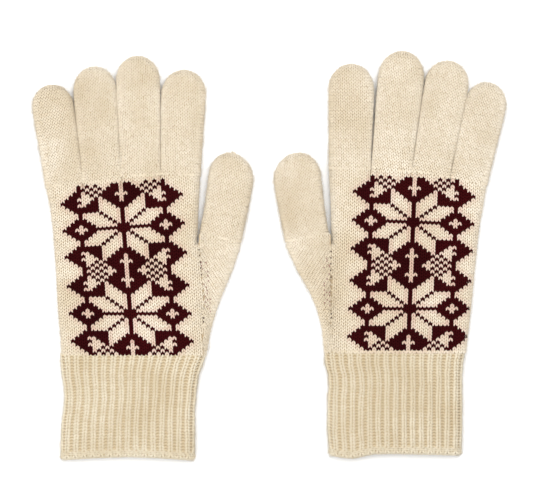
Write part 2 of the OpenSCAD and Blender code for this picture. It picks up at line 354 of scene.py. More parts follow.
@dataclass(frozen=True)
class YarnShape:
    """A stitch as it shows on the fabric, ready to be repeated."""

    sides: int = 6
    rings: int = 4
    foot: tuple[float, float, float] = (0.41, -0.74, 0.14)
    apex: tuple[float, float, float] = (0.09, 0.58, -0.20)
    width: float = 0.238
    depth: float = 0.46
    belly: float = 1.10

    def strand(self, bm: bmesh.types.BMesh, start: tuple[float, float, float],
               end: tuple[float, float, float], girth: float = 1.0) -> None:
        """Add a spindle of yarn from start to end.

        Args:
            bm: mesh that takes the spindle.
            start: one end, in wales, courses and millimetres of height.
            end: the other end.
            girth: thickness as a share of the plain yarn's.
        """
        bm.loops.layers.uv.verify()
        made = bmesh.ops.create_uvsphere(
            bm, u_segments=self.sides, v_segments=self.rings, radius=1.0, calc_uvs=True
        )["verts"]
        a, b = Vector(start), Vector(end)
        half = (b - a) / 2
        beside = Vector((half.y, -half.x, 0.0)).normalized() * self.width * girth
        above = Vector((0.0, 0.0, self.depth * girth))
        for v in made:
            swell = self.belly if 0.2 < abs(v.co.z) < 0.9 else 1.0
            v.co = (a + b) / 2 + half * v.co.z + beside * v.co.x * swell + above * v.co.y * swell

    def knit(self, bm: bmesh.types.BMesh) -> None:
        """Two legs that lean together towards the fingertips.

        Args:
            bm: mesh that takes the stitch.
        """
        self.strand(bm, self.foot, self.apex)
        left = [(-x, y, z) for x, y, z in (self.foot, self.apex)]
        self.strand(bm, left[0], left[1])

    def purl(self, bm: bmesh.types.BMesh) -> None:
        """The loop head that shows on the reverse: a low arch that crosses the wale."""
        self.strand(bm, (-0.60, 0.42, -0.02), (0.12, -0.26, 0.12), 1.35)
        self.strand(bm, (0.60, 0.42, -0.02), (-0.12, -0.26, 0.12), 1.35)

    def loop(self, bm: bmesh.types.BMesh) -> None:
        """A cast-on loop: a plump strand that lies along the edge."""
        self.strand(bm, (-0.74, -0.46, -0.05), (0.58, -0.10, 0.20), 1.2)
        self.strand(bm, (-0.58, 0.10, 0.05), (0.74, 0.46, 0.10), 1.2)

    def carried(self, bm: bmesh.types.BMesh) -> None:
        """A strand carried across behind the fabric."""
        self.strand(bm, (-0.62, -0.12, -1.25), (0.62, 0.12, -1.10), 0.8)

    def tuck(self, bm: bmesh.types.BMesh) -> None:
        """A small upright bite of yarn."""
        self.strand(bm, (0.0, -0.30, 0.05), (0.0, 0.30, 0.12), 0.95)

    def fibre(self, bm: bmesh.types.BMesh) -> None:
        """A loose fibre one unit long: a thin three-sided tube that tapers.

        Args:
            bm: mesh that takes the fibre.
        """
        bm.loops.layers.uv.verify()
        steps, taper = 2, 0.7
        bmesh.ops.create_circle(bm, cap_ends=True, segments=3, radius=0.5)
        face = bm.faces[:][0]
        for _ in range(steps):
            face = bmesh.ops.extrude_discrete_faces(bm, faces=[face])["faces"][0]
            bmesh.ops.translate(bm, verts=face.verts, vec=(0, 0, 1 / steps))
            bmesh.ops.scale(bm, verts=face.verts, vec=(taper, taper, 1))


LIGHT_YARN = YarnShape(sides=5, rings=3)

Draw = Callable[[bmesh.types.BMesh], None]
Keep = Callable[[Array, Array], Array]
Tint = Callable[[Array, Array], Array]
Place = Callable[[Array, Array, Array], Array]


def everywhere(u: Array, v: Array) -> Array:
    """Keep every stitch."""
    return np.ones(len(u), bool)


def unstained(u: Array, v: Array) -> Array:
    """No stitch takes up stain."""
    return np.zeros(len(u))


def turned_over(place: Place, u: float, v: float) -> bool:
    """Whether a form turns cloth over at a point, so that its faces have to be reversed.

    Args:
        place: carries wales, courses and height to positions.
        u: wale of the point.
        v: course of the point.

    Returns:
        True where the cloth is turned over.
    """
    step = 0.01
    at = np.array([[u, v, 0], [u + step, v, 0], [u, v + step, 0], [u, v, step]])
    spots = place(at[:, 0], at[:, 1], at[:, 2])
    return float(np.linalg.det(spots[1:] - spots[0])) < 0


@dataclass
class Cloth:
    """A flat run of stitches, numbered in wales and courses, that is then laid over a form."""

    draw: Draw
    wales: tuple[int, int]
    courses: tuple[int, int]
    wale_step: int = 1
    jitter: float = 0.035
    seed: int = 1
    lift: float = 0.7
    tone: float = 0.18
    tone_spread: float = 0.16

    def single(self) -> bpy.types.Object:
        """One stitch as an object.

        Returns:
            The stitch, linked into the scene.
        """
        bm = bmesh.new()
        self.draw(bm)
        for face in bm.faces:
            face.smooth = True
        mesh = bpy.data.meshes.new("stitch")
        bm.to_mesh(mesh)
        bm.free()
        made = bpy.data.objects.new("stitch", mesh)
        bpy.context.scene.collection.objects.link(made)
        return made

    def repeat(self, stitch: bpy.types.Object, columns: int, rows: int) -> bpy.types.Mesh:
        """Repeat a stitch along wales, then courses.

        Args:
            stitch: object that holds one stitch.
            columns: how many stitches across.
            rows: how many courses.

        Returns:
            The whole run of stitches as a mesh.
        """
        steps = ((columns, (self.wale_step, 0, 0)), (rows, (0, 1, 0)))
        for number, (count, step) in enumerate(steps):
            array = stitch.modifiers.new(f"repeat {number}", "ARRAY")
            array.count = count
            array.use_relative_offset = False
            array.use_constant_offset = True
            array.constant_offset_displace = step
        graph = bpy.context.evaluated_depsgraph_get()
        return bpy.data.meshes.new_from_object(stitch.evaluated_get(graph))

    def knit(self, name: str, place: Place, keep: Keep = everywhere,
             stain: Tint = unstained) -> bpy.types.Object:
        """Knit the cloth over a form.

        Args:
            name: name of the finished piece.
            place: carries wales, courses and height to positions in millimetres.
            keep: says which stitches stay, from their wale and course.
            stain: how much dye each stitch has taken up from its neighbours, from 0 to 1.

        Returns:
            The finished piece, in metres.
        """
        stitch = self.single()
        each = len(stitch.data.vertices)
        columns = (self.wales[1] - self.wales[0]) // self.wale_step + 1
        rows = self.courses[1] - self.courses[0] + 1
        mesh = self.repeat(stitch, columns, rows)
        bpy.data.objects.remove(stitch)
        count = columns * rows
        column = np.tile(np.arange(columns), rows) * self.wale_step + self.wales[0]
        row = np.repeat(np.arange(rows), columns) + self.courses[0]
        dice = np.random.default_rng(self.seed)
        shift = dice.normal(0.0, self.jitter, (count, 3)) * (1.0, 1.0, self.lift)
        tone = np.clip(dice.normal(self.tone, self.tone_spread, count), 0, 1)
        co = np.empty(len(mesh.vertices) * 3)
        mesh.vertices.foreach_get("co", co)
        co = co.reshape(count, each, 3)
        co[:, :, 0] += self.wales[0] + shift[:, None, 0]
        co[:, :, 1] += self.courses[0] + shift[:, None, 1]
        co[:, :, 2] += shift[:, None, 2]
        stays = keep(column.astype(float), row.astype(float))
        flat = co.reshape(-1, 3)
        laid = place(flat[:, 0], flat[:, 1], flat[:, 2])
        mesh.vertices.foreach_set("co", (laid * MM).ravel())
        for word, value in (("tone", tone), ("stain", stain(column, row))):
            layer = mesh.attributes.new(word, "FLOAT", "POINT")
            layer.data.foreach_set("value", np.repeat(value, each).astype(np.float32))
        bm = bmesh.new()
        bm.from_mesh(mesh)
        gone = [v for v, stay in zip(bm.verts, np.repeat(stays, each)) if not stay]
        bmesh.ops.delete(bm, geom=gone, context="VERTS")
        middle = int(np.argmax(stays))
        if turned_over(place, column[middle], row[middle]):
            bmesh.ops.reverse_faces(bm, faces=bm.faces)
        bm.to_mesh(mesh)
        bm.free()
        mesh.name = name
        return new_piece(name, mesh)


def new_piece(name: str, mesh: bpy.types.Mesh) -> bpy.types.Object:
    """Link a mesh into the scene as a piece and log its size.

    Args:
        name: name of the piece.
        mesh: its mesh, in metres, already in place.

    Returns:
        The piece.
    """
    made = bpy.data.objects.new(name, mesh)
    bpy.context.scene.collection.objects.link(made)
    LOG.info("%s: %d faces", name, len(mesh.polygons))
    return made


# --- forms ---

Points = list[tuple[float, float]]


def read_line(points: Points, at: Array) -> Array:
    """Second value of a broken line where its first value is at."""
    keys, values = zip(*points)
    return np.interp(at, keys, values)


# How far past a form's ends a stitch may lie and still be kept, in millimetres.
PAST_END = 0.7


@dataclass
class Form:
    """A surface that takes wales and courses to places, with height along its own normal."""

    side: Side
    origin: tuple[float, float, float]

    @property
    def outward(self) -> float:
        """1 where wales, courses and the way out make a right-handed set, else -1."""
        return 1.0

    def base(self, u: Array, v: Array) -> Array:
        """Place on the surface itself, in the drawn frame, in millimetres."""
        raise NotImplementedError

    def limits(self, v: Array) -> tuple[Array, Array]:
        """Wales at which a course begins and ends."""
        raise NotImplementedError

    def fringe(self, v: Array) -> tuple[Array, Array]:
        """Wales at which the form turns out of sight, where fibres show against what is behind."""
        return self.limits(v)

    def trim(self, at: Array) -> Array:
        """Pull places beyond the form's ends back to them."""
        return at

    def height(self, u: Array, v: Array) -> Array:
        """Extra height of the fabric, such as a rib's."""
        return np.zeros(len(u))

    def keep(self, u: Array, v: Array) -> Array:
        """True for stitches that are on the form, or just past its ends.

        Args:
            u: wales.
            v: courses.

        Returns:
            One truth value to a stitch.
        """
        low, high = self.limits(v)
        at = self.base(u, v)
        past = np.linalg.norm(self.trim(at) - at, axis=1)
        return (u > low) & (u < high) & (past < PAST_END)

    def place(self, u: Array, v: Array, w: Array, trimmed: bool = False) -> Array:
        """Carry wales, courses and height to the row frame, in millimetres.

        Args:
            u: wales.
            v: courses.
            w: height over the fabric's middle.
            trimmed: whether places beyond the form's ends are pulled back to them.

        Returns:
            Places in the row frame, in millimetres.
        """
        small, tiny = 0.02, 1e-9
        here = self.base(u, v)
        along_u = self.base(u + small, v) - self.base(u - small, v)
        along_v = self.base(u, v + small) - self.base(u, v - small)
        normal = np.cross(along_u, along_v)
        size = np.linalg.norm(normal, axis=1, keepdims=True)
        normal = np.where(size > tiny, normal / np.maximum(size, tiny), (0.0, 1.0, 0.0))
        here = self.trim(here) if trimmed else here
        laid = here + normal * (self.outward * (w + self.height(u, v)))[:, None]
        laid[:, 0] = laid[:, 0] * self.side.value
        return laid + np.array(self.origin)


@dataclass
class Digit(Form):
    """A finger or a thumb: a flattened tube with a round, closed tip."""

    at: tuple[float, float]
    lean: float
    length: float
    foot_width: float
    top_width: float
    foot_rim: tuple[float, float]
    face: Face = Face.UPPER
    bend: float = 0.0
    half_thick: float = HALF_THICK
    start: float = -1.7
    course: float = COURSE
    edge: float = OUTER_RIM
    skin: float = SKIN
    overlap: float = 0.45
    tip_skin: float = 0.9
    tip_power: float = 1.9
    tip_reach: float = 5.0
    tip_share: float = 0.52
    widest_at: float = 0.8
    squaring: float = 12.0
    groove: float = 0.32
    groove_in: float = 0.9
    groove_width: float = 0.55
    squeeze: float = 1.10
    reach_out: float = 0.30

    def pressed(self, side: Array, y: Array) -> Array:
        """How much of the rounded edge is flattened where two digits lie against each other.

        Args:
            side: negative on the -X side of the digit, else positive.
            y: distance along the digit.

        Returns:
            Width that is pressed flat, in millimetres.
        """
        foot = np.where(side < 0, self.foot_rim[0], self.foot_rim[1])
        fade = 1 - smooth((y - 0.55 * self.length) / (0.35 * self.length))
        return np.where(foot < 0.5 * self.edge, self.squeeze, 0.0) * fade

    def shaft(self, y: Array) -> Array:
        """Half width of the tube with no rounding at its tip."""
        foot, top = self.foot_width / 2 - self.skin, self.top_width / 2 - self.skin
        return foot + (top - foot) * smooth(y / (self.widest_at * self.length))

    def rim(self, side: Array, y: Array) -> Array:
        """Half axis of the rounded edge: almost square where two digits leave the hand."""
        foot = np.where(side < 0, self.foot_rim[0], self.foot_rim[1])
        return foot + (self.edge - foot) * smooth((y - self.start) / self.squaring)

    @property
    def reach(self) -> float:
        """Length of the tip's rounding seen from above."""
        return self.tip_share * self.top_width

    @property
    def end(self) -> float:
        """Distance from the fold to the middle of the yarn at the tip."""
        return self.length - self.tip_skin

    @property
    def turn_at(self) -> float:
        """Distance from the fold at which the wall turns down to the tip."""
        return self.end - self.tip_reach

    @property
    def arc(self) -> float:
        """Length of the wall as it turns down to the tip."""
        return float(quarter(np.array(self.tip_reach), np.array(self.half_thick)))

    @property
    def columns(self) -> int:
        """Wales on one wall of the tube, an odd number so that the walls meet.

        Returns:
            Number of wales.
        """
        plain = self.top_width / 2 - self.skin
        around = plain - self.edge + float(quarter(np.array(self.edge), np.array(self.half_thick)))
        return 2 * int(around / WALE) + 1

    @property
    def rows(self) -> int:
        """Courses from the foot to the tip."""
        return int((self.turn_at - self.start + self.arc) / self.course)

    def section(self, side: Array, v: Array) -> tuple[Array, Array, Array, Array, Array]:
        """Cross section at a course.

        Args:
            side: negative on the -X side of the digit, else positive.
            v: courses from the foot.

        Returns:
            Distance along the digit, half width, edge half axis, half thickness, wale width.
        """
        walked = self.start + v * self.course
        turn = np.clip((walked - self.turn_at) / self.arc, 0, 1.0) * (math.pi / 2)
        y = np.minimum(walked, self.turn_at) + self.tip_reach * np.sin(turn)
        thick = self.half_thick * np.maximum(np.cos(turn), 0.03)
        share = np.clip((y - (self.end - self.reach)) / self.reach, 0, 0.9995)
        plain = self.shaft(y) + self.pressed(side, y)
        half = plain * (1 - share**self.tip_power) ** (1 / self.tip_power)
        whole = self.rim(side, y)
        rim = np.minimum(whole, 0.92 * half)
        around = plain - whole + quarter(whole, np.array(self.half_thick))
        return y, half, rim, thick, around * 2 / self.columns

    def base(self, u: Array, v: Array) -> Array:
        """Place on the digit's wall.

        Args:
            u: wales.
            v: courses.

        Returns:
            Places in the drawn frame, in millimetres.
        """
        y, half, rim, thick, wale = self.section(u * self.face.value, v)
        across, up = cross_section(u * wale, half, rim, thick)
        pressed = self.pressed(u * self.face.value, y)
        contact = half - pressed * (1 - self.reach_out / self.squeeze)
        across = np.clip(across, -contact, contact)
        across = across * self.face.value + self.bend * (np.maximum(y, 0) / self.length) ** 3
        turn = math.radians(self.lean)
        x = self.at[0] + across * math.cos(turn) - y * math.sin(turn)
        y = self.at[1] + across * math.sin(turn) + y * math.cos(turn)
        return np.stack([x, y, up * self.face.value], axis=1)

    def limits(self, v: Array) -> tuple[Array, Array]:
        """The outer wales end where the tip rounds off.

        Args:
            v: courses.

        Returns:
            First and last wale of each course.
        """
        ends = []
        for side in (-1, 1):
            whole = np.full(len(v), side * self.face.value)
            _, half, rim, thick, wale = self.section(whole, v)
            ends.append(side * (half - rim + quarter(rim, thick)) / wale)
        return ends[0], ends[1]

    def keep(self, u: Array, v: Array) -> Array:
        """True for stitches on the wall, or so near its edge that the walls would part without."""
        low, high = self.limits(v)
        return (u > low - self.overlap) & (u < high + self.overlap)

    def height(self, u: Array, v: Array) -> Array:
        """A fine groove runs inside each edge of the upper wall and fades out upwards.

        Args:
            u: wales.
            v: courses.

        Returns:
            Extra height, in millimetres.
        """
        if self.face is Face.LOWER:
            return np.zeros(len(u))
        y, half, rim, _, wale = self.section(u, v)
        away = (np.abs(u * wale) - (half - rim) - self.groove_in) / self.groove_width
        fade = 1 - smooth((y - 0.35 * self.length) / (0.4 * self.length))
        return -self.groove * np.exp(-(away**2)) * fade * smooth((y + 3) / 6)


@dataclass
class Outline:
    """Edges of the hand as (y, x) points in the drawn frame, and its panel's place."""

    outer: Points
    inner: Points
    gusset: Points
    seam: Points
    thumb_crotch: float
    star: tuple[float, float]
    lean: float
    finger_line: Points = field(default_factory=list)
    thumb_line: Points = field(default_factory=list)
    crotches: Points = field(default_factory=list)


def seam_dip(x: Array, y: Array, outline: Outline) -> Array:
    """Shallow valley along the seam between hand and gusset.

    Args:
        x: places across the hand, in the drawn frame.
        y: places along the hand.
        outline: the hand's edges and seam.

    Returns:
        Extra height, in millimetres, none of it above 0.
    """
    deep, width, fade = 0.35, 1.0, 3.0
    away = (x - read_line(outline.seam, y)) / width
    return -deep * np.exp(-(away**2)) * (1 - smooth((y - outline.thumb_crotch) / fade))


@dataclass
class HandWall(Form):
    """The back or the palm of the hand, with rounded edges where it folds over."""

    outline: Outline
    bottom: float
    face: Face
    wale: float
    course: float
    half_thick: float = HALF_THICK
    rim_width: float = OUTER_RIM
    skin: float = SKIN
    free: float = 12.0
    straight: float = 70.0
    pucker: float = 1.9
    pucker_width: float = 0.8
    fold: float = 0.95
    fold_width: float = 0.55
    folds: tuple[float, float] = (-3.0, 2.6)

    @property
    def outward(self) -> float:
        """The palm is the back's reflection."""
        return float(self.face.value)

    def centre(self, v: Array) -> tuple[Array, Array, Array]:
        """Middle line of the wall at a course, and the slope of the course there.

        Args:
            v: courses.

        Returns:
            Positions along X and Y, and the slopes in radians.
        """
        star_x, star_y = self.outline.star
        lean = math.radians(self.outline.lean)
        y = star_y + v * self.course * math.cos(lean)
        x = star_x - v * self.course * math.sin(lean)
        return x, y, lean * smooth((y - star_y) / self.straight) * 1.15

    def edges(self, v: Array) -> tuple[Array, Array]:
        """Distances from the middle line to the outer and the inner edge along a course.

        Args:
            v: courses.

        Returns:
            The two distances, in millimetres.
        """
        x, y, slope = self.centre(v)
        outer = x - read_line(self.outline.outer, y) - self.skin
        outer = x - read_line(self.outline.outer, y - outer * np.sin(slope)) - self.skin
        inner = read_line(self.outline.inner, y) - x - self.skin
        inner_y = y + inner * np.sin(slope)
        open_below = 1 - smooth((inner_y - self.outline.thumb_crotch + 1.5) / 4.0)
        return outer, inner + self.free * open_below

    def base(self, u: Array, v: Array) -> Array:
        """Place on the wall.

        Args:
            u: wales.
            v: courses.

        Returns:
            Places in the drawn frame, in millimetres.
        """
        x, y, slope = self.centre(v)
        outer, inner = self.edges(v)
        s = u * self.wale
        half = np.where(s < 0, outer, inner)
        rim = np.minimum(self.rim_width, 0.9 * half)
        across, up = cross_section(s, half, rim, np.full(len(s), self.half_thick))
        x = x + across * np.cos(slope)
        y = y + across * np.sin(slope)
        return np.stack([x, y, up * self.face.value], axis=1)

    def limits(self, v: Array) -> tuple[Array, Array]:
        """From the outer edge to the inner edge, or to the seam below the thumb's crotch.

        Args:
            v: courses.

        Returns:
            First and last wale of each course.
        """
        x, y, slope = self.centre(v)
        outer, inner = self.edges(v)
        turned = float(quarter(np.array(self.rim_width), np.array(self.half_thick)))
        more = turned - self.rim_width
        seam_y = y + (read_line(self.outline.seam, y) - x) * np.tan(slope)
        seam = (read_line(self.outline.seam, seam_y) - x) / np.cos(slope)
        below = seam_y < self.outline.thumb_crotch
        high = np.where(below, np.minimum(seam, inner + more), inner + more)
        return -(outer + more) / self.wale, high / self.wale

    def trim(self, at: Array) -> Array:
        """Between the wrist and the feet of the fingers.

        Args:
            at: places in the drawn frame.

        Returns:
            The places, none past the wall's ends.
        """
        top = read_line(self.outline.finger_line, at[:, 0])
        y = np.minimum(np.maximum(at[:, 1], self.bottom), top)
        return np.stack([at[:, 0], y, at[:, 2]], axis=1)

    def height(self, u: Array, v: Array) -> Array:
        """The fabric is drawn in at the seam and puckers at each crotch.

        Args:
            u: wales.
            v: courses.

        Returns:
            Extra height, in millimetres.
        """
        at = self.base(u, v)
        x, y = at[:, 0], at[:, 1]
        total = seam_dip(x, y, self.outline)
        for cx, cy in self.outline.crotches:
            dx, dy = x - cx, y - cy
            fade = smooth((dy + 8.5) / 6.0)
            total = total - self.pucker * np.exp(-((dx / self.pucker_width) ** 2)) * fade
            for beside in self.folds:
                crease = np.exp(-(((dx - beside - 0.25 * dy) / self.fold_width) ** 2))
                total = total - self.fold * crease * smooth((dy + 5.0) / 3.5)
        return total


@dataclass
class Gusset(Form):
    """One wall of the thumb gusset: its wales follow the free edge and end at the seam."""

    outline: Outline
    bottom: float
    face: Face
    wale: float = 2.0
    course: float = COURSE
    half_thick: float = HALF_THICK
    rim_width: float = OUTER_RIM
    skin: float = SKIN

    @property
    def outward(self) -> float:
        """Wales count inwards, which turns the upper wall over."""
        return -float(self.face.value)

    @property
    def around(self) -> float:
        """Length of the rounded edge from its middle to the flat wall."""
        return float(quarter(np.array(self.rim_width), np.array(self.half_thick)))

    def free_edge(self, v: Array) -> tuple[Array, Array]:
        """Height along the hand and position of the free edge at a course."""
        y = self.bottom + v * self.course
        return y, read_line(self.outline.gusset, y) - self.skin

    def base(self, u: Array, v: Array) -> Array:
        """Place on the wall. Wales count inwards from the middle of the free edge.

        Args:
            u: wales.
            v: courses.

        Returns:
            Places in the drawn frame, in millimetres.
        """
        y, edge = self.free_edge(v)
        s = (u - 0.5) * self.wale
        turn = np.clip(1 - s / self.around, 0, 1.3) * (math.pi / 2)
        x = edge - self.rim_width - np.maximum(s - self.around, 0) + self.rim_width * np.sin(turn)
        return np.stack([x, y, self.half_thick * np.cos(turn) * self.face.value], axis=1)

    def limits(self, v: Array) -> tuple[Array, Array]:
        """From the free edge to just past the seam.

        Args:
            v: courses.

        Returns:
            First and last wale of each course.
        """
        y, edge = self.free_edge(v)
        width = edge - self.rim_width - read_line(self.outline.seam, y) + self.around
        return np.full(len(v), 0.5), width / self.wale + 0.5

    def trim(self, at: Array) -> Array:
        """Between the wrist and the foot of the thumb.

        Args:
            at: places in the drawn frame.

        Returns:
            The places, none past the wall's ends.
        """
        top = read_line(self.outline.thumb_line, at[:, 0])
        y = np.minimum(np.maximum(at[:, 1], self.bottom), top)
        return np.stack([at[:, 0], y, at[:, 2]], axis=1)

    def height(self, u: Array, v: Array) -> Array:
        """The fabric is drawn in at the seam."""
        at = self.base(u, v)
        return seam_dip(at[:, 0], at[:, 1], self.outline)


@dataclass
class SeamLine(Form):
    """The line on the back of the hand along which tuck stitches sit."""

    outline: Outline
    bottom: float
    pitch: float = 1.8
    column: float = 0.75
    level: float = 5.15

    def base(self, u: Array, v: Array) -> Array:
        """Place on the line, or beside it.

        Args:
            u: wales.
            v: courses.

        Returns:
            Places in the drawn frame, in millimetres.
        """
        y = self.bottom + v * self.pitch
        x = read_line(self.outline.seam, y) + u * self.column
        return np.stack([x, y, np.full(len(u), self.level)], axis=1)

    def limits(self, v: Array) -> tuple[Array, Array]:
        """The line and its near neighbours."""
        return np.full(len(v), -3.5), np.full(len(v), 3.5)


@dataclass
class Cuff(Form):
    """A ribbed tube with a rolled hem. Wales run all the way round, courses down from the wrist."""

    outer: Points
    inner: Points
    wave: Points
    top: float
    length: float
    wales: int = 66
    course: float = 1.75
    half_thick: float = 4.55
    rim_width: float = 4.4
    roll: float = 1.35
    hem: float = 2.6
    swell: float = 0.28
    rib_depth: float = 0.56
    rib_spread: float = 0.165
    valley: float = 0.10
    wander: float = 0.07

    def base(self, u: Array, v: Array) -> Array:
        """Place on the tube, over its lower edge and back up inside.

        Args:
            u: wales.
            v: courses.

        Returns:
            Places in the drawn frame, in millimetres.
        """
        walked = v * self.course
        over = np.clip((walked - self.length) / self.roll, 0, math.pi)
        inside = np.maximum(walked - self.length - self.roll * math.pi, 0)
        down = np.minimum(walked, self.length) + self.roll * np.sin(over) - inside
        inset = self.roll * (1 - np.cos(over))
        swell = self.swell * smooth((walked - self.length + self.hem) / 1.2)
        y = self.top - down
        left, right = read_line(self.outer, y), read_line(self.inner, y)
        half = (right - left) / 2 + swell - inset
        thick = self.half_thick + swell - inset
        rim = self.rim_width - inset * 0.8
        around = half - rim + quarter(rim, thick)
        turn = (u / (self.wales / 2) + 1) % 2 - 1
        front = np.abs(turn) <= 0.5
        s = np.where(front, turn, np.sign(turn) - turn) * 2 * around
        across, up = cross_section(s, half, rim, thick)
        up = np.where(front, up, -up)
        lift = read_line(self.wave, across / half) * smooth(walked / self.length)
        return np.stack([(left + right) / 2 + across, y + lift, up], axis=1)

    @property
    def outward(self) -> float:
        """Courses run downwards, which turns the tube over."""
        return -1.0

    def limits(self, v: Array) -> tuple[Array, Array]:
        """All the way round."""
        half = self.wales / 2 + 0.6
        return np.full(len(v), -half), np.full(len(v), half)

    def fringe(self, v: Array) -> tuple[Array, Array]:
        """A little past the middles of the two side edges."""
        side = self.wales / 4 + 1.2
        return np.full(len(v), -side), np.full(len(v), side)

    def height(self, u: Array, v: Array) -> Array:
        """Ribs stand up, and flatten out at the hem, above which there is a shallow valley.

        Args:
            u: wales.
            v: courses.

        Returns:
            Extra height, in millimetres.
        """
        walked = v * self.course
        fade = 1 - 0.9 * smooth((walked - self.length + self.hem + 0.6) / 1.4)
        valley = np.exp(-(((walked - self.length + self.hem + 0.9) / 0.7) ** 2))
        rib = self.rib_depth * np.cos(math.pi * u) * fade * smooth(walked / 3.0)
        return rib - self.valley * valley

    def place(self, u: Array, v: Array, w: Array, trimmed: bool = False) -> Array:
        """Carry wales, courses and height to the row frame. Knit wales are wider than purl ones.

        Args:
            u: wales.
            v: courses.
            w: height over the fabric's middle.
            trimmed: whether places beyond the form's ends are pulled back to them.

        Returns:
            Places in the row frame, in millimetres.
        """
        wander = self.wander * np.sin(0.31 * v + 1.7 * np.round(u)) * smooth(v / 4)
        wide = u + self.rib_spread * np.sin(math.pi * u) + wander
        return super().place(wide, v, w, trimmed)

    def is_hem(self, v: Array) -> Array:
        """True for courses of the hem."""
        return v * self.course > self.length - self.hem


FaceTest = Callable[[float, float], bool]


@dataclass
class Lining:
    """The thickness of the fabric under its stitches, one face to a stitch."""

    name: str
    deep: float = -0.50
    thick: float = 0.30
    chevron: float = 0.36
    weld: float = 0.04
    smallest: float = 0.005
    bm: bmesh.types.BMesh = field(default_factory=bmesh.new)

    def lay(self, form: Form, wales: tuple[int, int], courses: tuple[int, int],
            closed: bool = False, wanted: FaceTest | None = None) -> None:
        """Lay a sheet over a form.

        Args:
            form: the surface to cover.
            wales: first and last wale.
            courses: first and last course.
            closed: whether the last course draws in to a point.
            wanted: says which faces stay, from the wale and course that they are under.
        """
        columns, rows = wales[1] - wales[0] + 1, courses[1] - courses[0] + 1
        sheet = bmesh.new()
        bmesh.ops.create_grid(sheet, x_segments=columns * 2, y_segments=rows, size=0.5)
        if wanted:
            gone = []
            for face in sheet.faces:
                spot = face.calc_center_median()
                column = math.floor((spot.x + 0.5) * columns + wales[0])
                row = round((spot.y + 0.5) * rows + courses[0] - 0.5)
                if not wanted(column, row):
                    gone.append(face)
            bmesh.ops.delete(sheet, geom=gone, context="FACES")
        co = np.array([v.co for v in sheet.verts])
        u = (co[:, 0] + 0.5) * columns + wales[0] - 0.5
        v = (co[:, 1] + 0.5) * rows + courses[0] - 0.5
        ends = (np.abs(co[:, 1]) > 0.499) & closed
        v = v + np.where(ends, 0.0, self.chevron * np.cos(2 * math.pi * u))
        low, high = form.limits(v)
        laid = form.place(np.clip(u, low, high), v, np.full(len(u), self.deep), trimmed=True)
        if closed:
            last = co[:, 1] > 0.499
            point = laid[last].mean(axis=0)
            point[2] = form.origin[2]
            laid[last] = point
        for vert, spot in zip(sheet.verts, laid * MM):
            vert.co = spot
        middle = (wales[0] + wales[1]) / 2, (courses[0] + courses[1]) / 2
        if turned_over(form.place, *middle):
            bmesh.ops.reverse_faces(sheet, faces=sheet.faces)
        mesh = bpy.data.meshes.new("sheet")
        sheet.to_mesh(mesh)
        sheet.free()
        self.bm.from_mesh(mesh)
        bpy.data.meshes.remove(mesh)

    def finish(self) -> bpy.types.Object:
        """Weld the sheets, give them their thickness, and return the piece.

        Returns:
            The finished piece.
        """
        bmesh.ops.remove_doubles(self.bm, verts=self.bm.verts, dist=self.weld * MM)
        bmesh.ops.dissolve_degenerate(self.bm, edges=self.bm.edges, dist=self.smallest * MM)
        for face in self.bm.faces:
            face.smooth = True
        mesh = bpy.data.meshes.new(self.name)
        self.bm.to_mesh(mesh)
        self.bm.free()
        piece = new_piece(self.name, mesh)
        wall = piece.modifiers.new("thickness", "SOLIDIFY")
        wall.thickness = self.thick * MM
        wall.offset = -1.0
        wall.use_even_offset = False
        return piece


@dataclass(frozen=True)
class Fluff:
    """Loose fibre ends that stand off the wool."""

    girth: float = 0.10
    shortest: float = 0.9
    longest: float = 3.2
    rise: float = 0.8
    at_edges: float = 0.93
    edge_band: float = 1.9
    curl: float = 1.1
    level: float = 0.25
    shape: YarnShape = YarnShape()

    def grow(self, name: str, form: Form, wales: tuple[int, int], courses: tuple[int, int],
             count: int, seed: int) -> bpy.types.Object:
        """Grow fibres at random places on a form, most of them near its edges.

        Args:
            name: name of the finished piece.
            form: the surface they grow on.
            wales: first and last wale.
            courses: first and last course.
            count: number of fibres.
            seed: start of the random choices.

        Returns:
            The finished piece, in metres.
        """
        dice = np.random.default_rng(seed)
        tries = count * 4
        v = dice.uniform(courses[0], courses[1] - 1.5, tries)
        u = dice.uniform(wales[0], wales[1], tries)
        low, high = form.fringe(v)
        edge = dice.random(tries) < self.at_edges
        near = self.edge_band * dice.random(tries)
        u = np.where(edge, np.where(u > (low + high) / 2, high - near, low + near), u)
        chosen = np.flatnonzero(form.keep(u, v))[:count]
        u, v = u[chosen], v[chosen]
        count = len(chosen)
        cloth = Cloth(self.shape.fibre, (0, count - 1), (0, 0))
        single = cloth.single()
        each = len(single.data.vertices)
        mesh = cloth.repeat(single, count, 1)
        bpy.data.objects.remove(single)
        co = np.empty(len(mesh.vertices) * 3)
        mesh.vertices.foreach_get("co", co)
        co = co.reshape(count, each, 3)
        along = co[:, :, 2]
        long = dice.uniform(self.shortest, self.longest, count)[:, None] * along
        heading = dice.uniform(0, 2 * math.pi, count)[:, None]
        heading = heading + dice.normal(0, self.curl, count)[:, None] * along
        beside = (co[:, :, 0] - np.arange(count)[:, None]) * self.girth
        lift = dice.uniform(0.05, self.rise, count)[:, None] * long
        du = (np.cos(heading) * long - np.sin(heading) * beside) / WALE
        dv = (np.sin(heading) * long + np.cos(heading) * beside) / COURSE
        w = self.level + lift + co[:, :, 1] * self.girth
        laid = form.place((u[:, None] + du).ravel(), (v[:, None] + dv).ravel(), w.ravel())
        mesh.vertices.foreach_set("co", (laid * MM).ravel())
        bm = bmesh.new()
        bm.from_mesh(mesh)
        bmesh.ops.recalc_face_normals(bm, faces=bm.faces)
        bm.to_mesh(mesh)
        bm.free()
        mesh.name = name
        return new_piece(name, mesh)


# --- star panel ---

